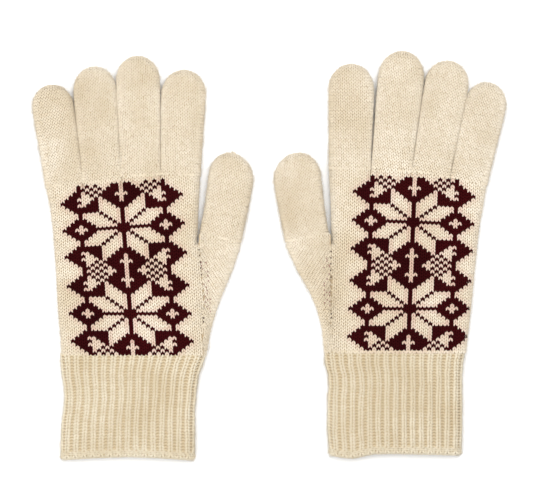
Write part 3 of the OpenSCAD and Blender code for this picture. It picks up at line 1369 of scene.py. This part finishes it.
# One quarter of the star, centre outwards. x is contrast yarn.
STAR = (
    "xxxxxxxxx...xxx",
    "xx.....xxx.xxx.",
    "x.x.....xxxxx..",
    "x..x.....xxx...",
    "x...x.....x....",
    "x....x....x....",
    "x.....xxxxxx...",
    "xx....xxxxxxx..",
    "xxx...xxx..xxx.",
    ".xxx..xx..xxxxx",
    ".xxxx.x....xxx.",
    "..xxxx.x..xxx..",
    ".xxxx.x.x.xx...",
    ".xxx.x.x.xx....",
    ".xx...x.x.x....",
)


@dataclass(frozen=True)
class StarChart:
    """The two-colour chart: a quarter star reflected about its middle row and column."""

    rows: tuple[str, ...] = STAR
    first: int = -13
    last: int = 42
    wale: float = 2.46
    course: float = 1.8
    bleed: float = 0.62

    def panel(self, column: Array, row: Array) -> Array:
        """True where a stitch is inside the panel."""
        return (np.abs(column) < len(self.rows[0])) & (row >= self.first) & (row <= self.last)

    def table(self) -> FaceTest:
        """A quick test of whether one stitch is in the contrast yarn.

        Returns:
            A test that takes a wale and a course.
        """
        marks = {
            (c, r)
            for c in range(1 - len(self.rows[0]), len(self.rows[0]))
            for r in range(self.first, self.last + 1)
            if self.contrast(np.array([c]), np.array([r]))[0]
        }
        return lambda c, r: (c, r) in marks

    def contrast(self, column: Array, row: Array) -> Array:
        """True where a stitch is in the contrast yarn.

        Args:
            column: wales from the panel's middle.
            row: courses from the lower star's middle.

        Returns:
            One truth value to a stitch.
        """
        fold = len(self.rows) - 1
        r = np.abs(row.astype(int)) % (2 * fold)
        r = np.where(r > fold, 2 * fold - r, r)
        c = np.abs(column.astype(int))
        grid = np.array([[mark == "x" for mark in line] for line in self.rows])
        return self.panel(column, row) & grid[r, np.minimum(c, grid.shape[1] - 1)]

    def stain(self, column: Array, row: Array) -> Array:
        """Share of a stitch's neighbours that are in the contrast yarn, as faint stain.

        Args:
            column: wales from the panel's middle.
            row: courses from the lower star's middle.

        Returns:
            Stain of each stitch, from 0 to 1.
        """
        near = [(a, b) for a in (-1, 0, 1) for b in (-1, 0, 1) if (a, b) != (0, 0)]
        total = sum(self.contrast(column + a, row + b).astype(float) for a, b in near)
        return self.bleed * total / len(near)


# --- a glove ---


# Half axis of a digit's rounded edge where it leaves the hand beside another digit.
BETWEEN = 2.0


@dataclass(frozen=True)
class DigitPlan:
    """Widths of a digit and how its tip bends, in millimetres."""

    node: str
    foot_width: float
    top_width: float
    bend: float = 0.0
    foot_rim: tuple[float, float] = (BETWEEN, BETWEEN)
    seed: int = 1


@dataclass(frozen=True)
class CuffPlan:
    """Edges of the cuff as (y, x) points in the drawn frame, and how its hem waves."""

    top: float
    outer: Points
    inner: Points
    wave: Points


@dataclass(frozen=True)
class FibreCounts:
    """How many loose fibres each part of a glove is given."""

    digit_above: int = 900
    digit_below: int = 400
    back: int = 1000
    palm: int = 400
    gusset: int = 450
    cuff: int = 1600

    def digit(self, face: Face) -> int:
        """Number for one wall of a digit."""
        return self.digit_above if face is Face.UPPER else self.digit_below


@dataclass
class Glove:
    """One glove: its plan in millimetres, drawn with the little finger towards -X."""

    side: Side
    outline: Outline
    digits: tuple[DigitPlan, ...]
    cuff: CuffPlan
    frame: dict
    offset: tuple[float, float]
    middle: float = 5.5
    foot: float = -2.6
    bend_end: float = 6.0
    cuff_bend: tuple[float, float] = (0.3, 9.0)
    chart: StarChart = StarChart()
    shape: YarnShape = YarnShape()
    full: YarnShape = YarnShape(width=0.275, depth=0.50)
    bite: YarnShape = YarnShape(width=0.52, depth=0.30)
    plump: YarnShape = YarnShape(width=0.26, foot=(0.40, 0.76, 0.13), apex=(0.13, -0.60, -0.12))
    fluff: Fluff = Fluff()
    fibres: FibreCounts = FibreCounts()

    @property
    def origin(self) -> tuple[float, float, float]:
        """Place of the drawn frame's origin."""
        return (self.offset[0], self.offset[1], self.middle)

    @property
    def word(self) -> str:
        """The hand's name."""
        return self.side.word

    @property
    def hand(self) -> str:
        """Name of the hand's body."""
        return f"{self.word}_hand"

    def hinge(self, node: str) -> tuple[tuple[float, float], float]:
        """Place of a digit's fold in the drawn frame, and its lean towards -X in degrees.

        Args:
            node: name of the digit without its hand.

        Returns:
            The place in millimetres, and the lean.
        """
        name = f"{self.word}_{node}_bend"
        joint = next(j for j in self.frame["joints"] if j["name"] == name)
        x = (joint["pos_m"][0] / MM - self.offset[0]) * self.side.value
        y = joint["pos_m"][1] / MM - self.offset[1]
        ax, ay, _ = joint["axis"]
        return (x, y), math.degrees(math.atan2(-ay * self.side.value, -ax))

    def length(self, node: str, at: tuple[float, float], lean: float) -> float:
        """Length of a digit from its fold to its tip, read from the frame.

        Args:
            node: name of the digit without its hand.
            at: place of its fold.
            lean: its lean towards -X in degrees.

        Returns:
            The length in millimetres.
        """
        turn = math.radians(lean)
        verts = self.frame["nodes"][f"{self.word}_{node}"].data.vertices
        co = np.array([v.co for v in verts]) / MM - np.array(self.origin)
        x, y = co[:, 0] * self.side.value - at[0], co[:, 1] - at[1]
        return float(np.max(y * math.cos(turn) - x * math.sin(turn)))

    def digit(self, plan: DigitPlan, face: Face) -> Digit:
        """The form of one wall of a digit.

        Args:
            plan: the digit's widths.
            face: which wall.

        Returns:
            The wall's form.
        """
        at, lean = self.hinge(plan.node)
        length = self.length(plan.node, at, lean)
        return Digit(
            self.side, self.origin, at, lean, length, plan.foot_width, plan.top_width,
            plan.foot_rim, face=face, bend=plan.bend,
        )

    def point(self, x: float, y: float) -> Vector:
        """A point of the drawn frame in the row frame, in metres."""
        place = (x * self.side.value + self.offset[0], y + self.offset[1], self.middle)
        return Vector(place) * MM

    def foot_line(self, plan: DigitPlan, spread: float) -> Points:
        """Two points of the line on which a digit starts, this share of its width to each side.

        Args:
            plan: the digit's widths.
            spread: share of the foot's width to each side.

        Returns:
            The two points, as (x, y) in the drawn frame.
        """
        at, lean = self.hinge(plan.node)
        turn = math.radians(lean)
        points = []
        for end in (-spread, spread):
            across = end * plan.foot_width
            x = at[0] + across * math.cos(turn) - self.foot * math.sin(turn)
            y = at[1] + across * math.sin(turn) + self.foot * math.cos(turn)
            points.append((x, y))
        return points

    def plan_lines(self) -> None:
        """Work out where the hand ends, from the folds of the digits."""
        feet = [self.foot_line(plan, 0.46) for plan in self.digits[:4]]
        first = self.foot_line(self.digits[0], 0.6)[0]
        last = self.foot_line(self.digits[3], 0.6)[1]
        between = [point for pair in feet for point in pair]
        self.outline.finger_line = [first, *between, last]
        self.outline.thumb_line = self.foot_line(self.digits[4], 0.9)
        self.outline.crotches = [
            ((a[1][0] + b[0][0]) / 2, (a[1][1] + b[0][1]) / 2) for a, b in zip(feet, feet[1:])
        ]

    # ways in which pieces are finished; only the hand's pieces follow a body

    def ride(self, piece: bpy.types.Object, finish: WoolFinish) -> None:
        """Finish a piece that stays with the hand."""
        dress(piece, finish)
        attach(piece, self.hand)

    def fold_digit(self, piece: bpy.types.Object, plan: DigitPlan, finish: WoolFinish) -> None:
        """Finish a piece of a digit: give it its wool and bake its place into its mesh, on no body.

        Args:
            piece: the piece to finish.
            plan: the digit's widths.
            finish: its wool.
        """
        at, lean = self.hinge(plan.node)
        dress(piece, finish)
        self.hand
        f"{self.word}_{plan.node}_body"
        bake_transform(piece)

    def fold_cuff(self, piece: bpy.types.Object, finish: WoolFinish) -> None:
        """Finish a piece of the cuff: give it its wool and bake its place into its mesh, on no body.

        Args:
            piece: the piece to finish.
            finish: its wool.
        """
        x = (self.cuff.outer[0][1] + self.cuff.inner[0][1]) / 2
        ends = [self.point(x, self.cuff.top - d) for d in self.cuff_bend]
        dress(piece, finish)
        self.hand
        f"{self.word}_cuff_body"
        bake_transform(piece)

    # parts

    def wall(self, face: Face, wale: float, course: float) -> HandWall:
        """The form of the back or the palm, for stitches of a size.

        Args:
            face: the back or the palm.
            wale: width of a stitch.
            course: height of a stitch.

        Returns:
            The wall's form.
        """
        return HandWall(
            self.side, self.origin, self.outline, self.cuff.top, face, wale, course
        )

    def build_digit(self, plan: DigitPlan) -> None:
        """Knit both walls of a digit over its lining.

        Args:
            plan: the digit's widths.
        """
        lining = Lining(f"{self.word}_{plan.node}_lining")
        for face in Face:
            form = self.digit(plan, face)
            reach = (form.columns - 1) // 2
            wales, courses = (-reach, reach), (0, form.rows)
            shape = self.shape if face is Face.UPPER else LIGHT_YARN
            cloth = Cloth(shape.knit, wales, courses, seed=plan.seed + face.value)
            name = f"{self.word}_{plan.node}_{face.word}"
            piece = cloth.knit(f"{name}_knit", form.place, form.keep)
            self.fold_digit(piece, plan, CREAM)
            if face is Face.UPPER:
                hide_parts(f"{self.word}_{plan.node}")
            loose = self.fluff.grow(
                f"{name}_fluff", form, wales, courses, self.fibres.digit(face), plan.seed + 7
            )
            self.fold_digit(loose, plan, CREAM)
            lining.lay(form, (-reach - 1, reach + 1), courses, closed=True)
        # The digit's lining takes the darkened cream: painted shade in the gaps between its
        # stitches.
        self.fold_digit(lining.finish(), plan, SHADED_LINING)

    def build_back(self) -> None:
        """Knit the back with its star panel, and carry the contrast yarn behind it."""
        back = self.wall(Face.UPPER, self.chart.wale, self.chart.course)
        wales, courses = (-19, 22), (-14, 52)
        cloth = Cloth(self.shape.knit, wales, courses, seed=3, jitter=0.025)
        star = Cloth(self.full.knit, wales, courses, seed=3, jitter=0.025).knit(
            f"{self.word}_star_panel_yarn", back.place,
            lambda u, v: back.keep(u, v) & self.chart.contrast(u, v),
        )
        self.ride(star, BURGUNDY)
        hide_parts(f"{self.word}_star_pattern")
        plain = cloth.knit(
            f"{self.word}_hand_back_knit", back.place,
            lambda u, v: back.keep(u, v) & ~self.chart.contrast(u, v), self.chart.stain,
        )
        self.ride(plain, CREAM)
        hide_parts(f"{self.word}_hand_back")
        strands = Cloth(YarnShape(sides=4, rings=3).carried, wales, courses, seed=4).knit(
            f"{self.word}_carried_strands", back.place,
            lambda u, v: back.keep(u, v) & self.chart.panel(u, v) & ~self.chart.contrast(u, v),
        )
        self.ride(strands, BURGUNDY)
        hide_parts(f"{self.word}_pattern_floats")
        loose = Fluff(at_edges=1.0).grow(
            f"{self.word}_back_fluff", back, wales, courses, self.fibres.back, 41
        )
        self.ride(loose, CREAM)

    def build_palm(self) -> None:
        """Knit the palm."""
        palm = self.wall(Face.LOWER, WALE, COURSE)
        wales, courses = (-23, 27), (-15, 53)
        piece = Cloth(LIGHT_YARN.knit, wales, courses, seed=5).knit(
            f"{self.word}_palm_knit", palm.place, palm.keep
        )
        self.ride(piece, CREAM)
        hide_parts(f"{self.word}_hand_palm")
        loose = self.fluff.grow(
            f"{self.word}_palm_fluff", palm, wales, courses, self.fibres.palm, 43
        )
        self.ride(loose, CREAM)

    def build_gusset(self) -> None:
        """Knit both walls of the gusset."""
        wales, courses = (1, 16), (0, 44)
        for face in Face:
            form = Gusset(self.side, self.origin, self.outline, self.cuff.top, face)
            shape = self.shape if face is Face.UPPER else LIGHT_YARN
            cloth = Cloth(shape.knit, wales, courses, seed=7 + face.value)
            name = f"{self.word}_gusset_{face.word}"
            piece = cloth.knit(f"{name}_knit", form.place, form.keep)
            self.ride(piece, CREAM)
            if face is Face.UPPER:
                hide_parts(f"{self.word}_thumb_gusset")
            loose = self.fluff.grow(
                f"{name}_fluff", form, wales, courses, self.fibres.gusset, 45
            )
            self.ride(loose, CREAM)

    def build_tucks(self) -> None:
        """Sew the tuck stitches along the gusset's seam: regular by the thumb, then sparse."""
        line = SeamLine(self.side, self.origin, self.outline, self.cuff.top)
        dice = np.random.default_rng(9)
        bare, regular, faint_from = 9, 10, 14
        sparse, faint_share = 0.12, 0.42
        last_column = 5
        rows = int((self.outline.thumb_crotch - self.cuff.top) / line.pitch)
        shown = dice.random(rows + 1) < sparse
        shown[:bare] = False
        shown[-regular:] = False
        shown[-regular::2] = True
        faint = dice.random((rows + 1, last_column + 1)) < faint_share
        tucks = Cloth(self.bite.tuck, (0, 0), (0, rows), seed=9, jitter=0.12)
        piece = tucks.knit(
            f"{self.word}_tuck_stitches", line.place, lambda u, v: shown[v.astype(int)]
        )
        self.ride(piece, BURGUNDY)
        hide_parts(f"{self.word}_gusset_tacks")
        columns, courses = (1, last_column), (faint_from, rows - 3)
        pale = Cloth(self.bite.tuck, columns, courses, wale_step=2, seed=10, jitter=0.2).knit(
            f"{self.word}_faint_tucks", line.place,
            lambda u, v: faint[v.astype(int), u.astype(int)],
        )
        self.ride(pale, FADED)

    def build_hand_lining(self) -> None:
        """Line the hand, in contrast yarn under the star panel's own stitches and in painted-shade
        cream elsewhere.
        """
        cream = Lining(f"{self.word}_hand_lining")
        wine = Lining(f"{self.word}_star_backing")
        grid = self.chart.table()
        for face in Face:
            wall = self.wall(face, self.chart.wale, self.chart.course)
            wales, courses = (-20, 23), (-15, 53)
            if face is Face.UPPER:
                cream.lay(wall, wales, courses, wanted=lambda c, r: not grid(c, r))
                wine.lay(wall, wales, courses, wanted=grid)
            else:
                cream.lay(wall, wales, courses)
            side_wall = Gusset(self.side, self.origin, self.outline, self.cuff.top, face)
            cream.lay(side_wall, (1, 16), (-1, 45))
        # The cream lining is darkened as painted shade in the gaps between the hand's stitches.
        self.ride(cream.finish(), SHADED_LINING)
        self.ride(wine.finish(), INNER_BURGUNDY)

    def build_cuff(self) -> None:
        """Knit the ribs and the rolled hem over their lining."""
        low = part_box(f"{self.word}_cuff_hem")[0]
        roll_out, inner_turn = 1.9, 4.0
        length = self.cuff.top - (low.y / MM - self.offset[1]) - roll_out
        form = Cuff(
            self.side, self.origin, self.cuff.outer, self.cuff.inner, self.cuff.wave,
            self.cuff.top, length,
        )
        rows = int((length + form.roll * math.pi + inner_turn) / form.course)
        half = form.wales // 2
        kinds = (("knit", self.plump.knit, -half + 1, half - 1),
                 ("purl", YarnShape(rings=3).purl, -half, half - 2))
        for name, draw, first, last in kinds:
            piece = Cloth(draw, (first, last), (0, rows), wale_step=2, seed=11, jitter=0.025).knit(
                f"{self.word}_cuff_{name}_wales", form.place, lambda u, v: ~form.is_hem(v)
            )
            # Purl wales take the darker finish: painted shade for the valleys between the ribs.
            self.fold_cuff(piece, RIB if name == "knit" else SHADED_VALLEY)
            if name == "knit":
                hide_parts(f"{self.word}_cuff")
        edge = int((length - form.hem) / form.course) + 1
        hem = Cloth(self.plump.knit, (-half, half - 1), (edge + 1, rows), seed=13).knit(
            f"{self.word}_hem_roll", form.place
        )
        self.fold_cuff(hem, RIB)
        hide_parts(f"{self.word}_cuff_hem")
        chain = Cloth(self.shape.loop, (-half, half - 1), (edge, edge), seed=14, jitter=0.06).knit(
            f"{self.word}_cast_on_loops", form.place
        )
        self.fold_cuff(chain, RIB)
        lining = Lining(f"{self.word}_cuff_lining", deep=-0.40)
        lining.lay(form, (-half, half - 1), (0, rows))
        # The cuff's lining takes the darkened finish: painted shade in the gaps between its
        # stitches.
        self.fold_cuff(lining.finish(), SHADED_RIB_LINING)
        loose = self.fluff.grow(
            f"{self.word}_cuff_fluff", form, (-half, half), (1, rows), self.fibres.cuff, 47
        )
        self.fold_cuff(loose, RIB)

    def build(self) -> None:
        """Build every part of the glove."""
        self.plan_lines()
        self.build_back()
        self.build_palm()
        self.build_gusset()
        self.build_tucks()
        self.build_hand_lining()
        for plan in self.digits:
            self.build_digit(plan)
        self.build_cuff()


def dress(piece: bpy.types.Object, finish: WoolFinish) -> None:
    """Give a piece its finish.

    Args:
        piece: the piece to finish.
        finish: its wool.
    """
    piece.data.materials.clear()
    piece.data.materials.append(finish.material())


# --- studio ---


@dataclass(frozen=True)
class SoftLight:
    """A square soft light: its place and size in millimetres, and its power in watts."""

    name: str
    at: tuple[float, float, float]
    size: float
    power: float

    def build(self) -> None:
        """Hang the light and aim it at the middle of the pair."""
        data = bpy.data.lights.new(self.name, "AREA")
        data.shape = "SQUARE"
        data.size = self.size * MM
        data.energy = self.power
        lamp = bpy.data.objects.new(self.name, data)
        lamp.location = Vector(self.at) * MM
        lamp.rotation_mode = "QUATERNION"
        lamp.rotation_quaternion = (-Vector(self.at)).to_track_quat("-Z", "Y")
        bpy.context.scene.collection.objects.link(lamp)


@dataclass(frozen=True)
class Studio:
    """Pale floor, soft light from above, and a camera that looks straight down."""

    aim: tuple[float, float] = (-1.7, 4.8)
    view_width: float = 311.8
    lens: float = 100.0
    sensor: float = 36.0
    surface: float = 5.5
    floor_half: float = 3.0
    paper: float = 0.93
    daylight: float = 0.62
    key: SoftLight = SoftLight("key", (70, 180, 720), 420, 4.4)
    fill: SoftLight = SoftLight("fill", (-420, -120, 620), 520, 2.4)

    def build(self) -> None:
        """Make the floor, the lights and the camera."""
        self._floor()
        self.key.build()
        self.fill.build()
        world = bpy.data.worlds.new("studio")
        world.use_nodes = True
        sky = world.node_tree.nodes["Background"]
        sky.inputs["Color"].default_value = (1, 1, 1, 1)
        sky.inputs["Strength"].default_value = self.daylight
        bpy.context.scene.world = world
        bpy.context.scene.view_settings.view_transform = "Standard"
        self._camera()

    def _floor(self) -> None:
        """A wide plain floor just under the gloves."""
        bm = bmesh.new()
        bmesh.ops.create_grid(bm, x_segments=1, y_segments=1, size=self.floor_half)
        mesh = bpy.data.meshes.new("floor")
        bm.to_mesh(mesh)
        bm.free()
        floor = bpy.data.objects.new("floor", mesh)
        bpy.context.scene.collection.objects.link(floor)
        paper = bpy.data.materials.new("white paper")
        paper.use_nodes = True
        shader = paper.node_tree.nodes["Principled BSDF"]
        shader.inputs["Base Color"].default_value = (self.paper, self.paper, self.paper, 1)
        shader.inputs["Roughness"].default_value = 0.9
        mesh.materials.append(paper)

    def _camera(self) -> None:
        """A long lens straight above."""
        data = bpy.data.cameras.new("camera")
        data.lens = self.lens
        data.sensor_width = self.sensor
        camera = bpy.data.objects.new("camera", data)
        height = self.view_width * self.lens / self.sensor + self.surface
        camera.location = Vector((self.aim[0], self.aim[1], height)) * MM
        bpy.context.scene.collection.objects.link(camera)
        bpy.context.scene.camera = camera


LEFT_DIGITS = (
    DigitPlan("little_finger", 23.0, 24.6, foot_rim=(OUTER_RIM, BETWEEN), seed=21),
    DigitPlan("ring_finger", 22.9, 25.2, seed=23),
    DigitPlan("middle_finger", 23.5, 25.6, seed=25),
    DigitPlan("index_finger", 23.7, 26.2, foot_rim=(BETWEEN, OUTER_RIM), seed=27),
    DigitPlan("thumb", 25.4, 26.9, bend=-2.6, foot_rim=(OUTER_RIM, OUTER_RIM), seed=29),
)
RIGHT_DIGITS = (
    DigitPlan("little_finger", 22.8, 24.8, foot_rim=(OUTER_RIM, BETWEEN), seed=31),
    DigitPlan("ring_finger", 22.8, 25.6, seed=33),
    DigitPlan("middle_finger", 23.8, 26.6, seed=35),
    DigitPlan("index_finger", 24.6, 26.6, foot_rim=(BETWEEN, OUTER_RIM), seed=37),
    DigitPlan("thumb", 26.4, 28.4, bend=-2.0, foot_rim=(OUTER_RIM, OUTER_RIM), seed=39),
)
LEFT_OUTLINE = Outline(
    outer=[(-60, -121.6), (-47, -122.2), (-31, -123.6), (-8, -124.8), (15.5, -126.6),
           (29, -128.4), (41, -130.9)],
    inner=[(-60, -41.5), (6, -41.8), (46, -39.9)],
    gusset=[(-60, -36.8), (-43, -33.9), (-31, -30.4), (-20, -26.3), (-8, -21.1), (6, -16.6)],
    seam=[(-60, -38.1), (-22, -38.1), (-8, -39.6), (6, -40.9)],
    thumb_crotch=5.6,
    star=(-80.8, -33.0),
    lean=4.3,
)
RIGHT_OUTLINE = Outline(
    outer=[(-60, -115.0), (-31, -118.2), (-8, -120.5), (15.5, -122.9), (41, -127.4)],
    inner=[(-60, -36.8), (10, -36.4), (50, -34.8)],
    gusset=[(-60, -32.4), (-43, -30.8), (-31, -27.9), (-20, -23.2), (-8, -16.2), (6, -9.8)],
    seam=[(-60, -36.6), (-26, -36.0), (-9, -35.8), (6, -36.0)],
    thumb_crotch=5.6,
    star=(-81.8, -30.1),
    lean=2.3,
)
LEFT_CUFF = CuffPlan(
    top=-57.4,
    outer=[(-125, -121.2), (-110.8, -121.2), (-96.7, -120.6), (-89.7, -119.5), (-82.7, -118.9),
           (-75.7, -119.4), (-68.7, -120.6), (-57, -121.8)],
    inner=[(-125, -43.9), (-89.7, -43.9), (-82.7, -43.3), (-75.7, -42.7), (-68.7, -41.5),
           (-61.6, -38.9), (-57, -36.9)],
    wave=[(-1.0, 0.0), (-0.5, 1.2), (0.0, 1.7), (0.5, 1.1), (1.0, -0.2)],
)
RIGHT_CUFF = CuffPlan(
    top=-55.0,
    outer=[(-125, -111.8), (-110, -112.0), (-100, -112.3), (-68.7, -112.3), (-61.6, -112.9),
           (-55, -114.2)],
    inner=[(-125, -35.8), (-110, -35.4), (-100, -34.6), (-82.7, -34.8), (-75.7, -35.5),
           (-68.7, -35.1), (-63, -33.4), (-55, -32.6)],
    wave=[(-1.0, 0.3), (-0.5, 0.8), (0.0, 1.1), (0.35, 1.0), (0.66, -1.6), (0.85, -1.0),
          (1.0, 0.2)],
)


# Place of the drawn outlines' origin in the frame, in millimetres.
OFFSET = (-0.2, -1.1)


def main() -> None:
    """Build the gloves, then the studio."""
    logging.basicConfig(level=logging.INFO, format="%(name)s %(message)s")
    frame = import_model()
    Studio().build()
    Glove(Side.LEFT, LEFT_OUTLINE, LEFT_DIGITS, LEFT_CUFF, frame, OFFSET).build()
    Glove(Side.RIGHT, RIGHT_OUTLINE, RIGHT_DIGITS, RIGHT_CUFF, frame, OFFSET).build()


if __name__ == "__main__":
    main()
